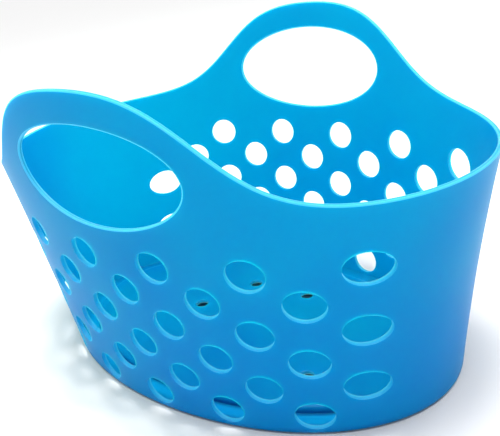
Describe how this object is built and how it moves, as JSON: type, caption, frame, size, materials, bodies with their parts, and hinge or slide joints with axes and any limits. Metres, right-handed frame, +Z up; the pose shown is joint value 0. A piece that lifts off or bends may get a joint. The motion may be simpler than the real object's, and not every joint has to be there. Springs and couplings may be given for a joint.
{
  "type": "shower caddy",
  "caption": "Oval open tub with tapering perforated sides, low rounded ends and an arched hand-hold handle in the middle of each long side.",
  "frame": {"origin": "centre of the footprint, on the surface the caddy stands on", "axes": "+X along the long way of the oval, -Y towards the front long side, +Z up"},
  "size_m": [0.279, 0.2032, 0.1725],
  "materials": {
    "blue_plastic": "flexible blue polyethylene with a soft satin gloss, slightly translucent"
  },
  "bodies": {
    "root": {"floor_panel": "blue_plastic", "base_track": "blue_plastic", "front_wall": "blue_plastic", "rear_wall": "blue_plastic", "left_end_wall": "blue_plastic", "right_end_wall": "blue_plastic", "front_handle": "blue_plastic", "rear_handle": "blue_plastic"}
  },
  "joints": []
}
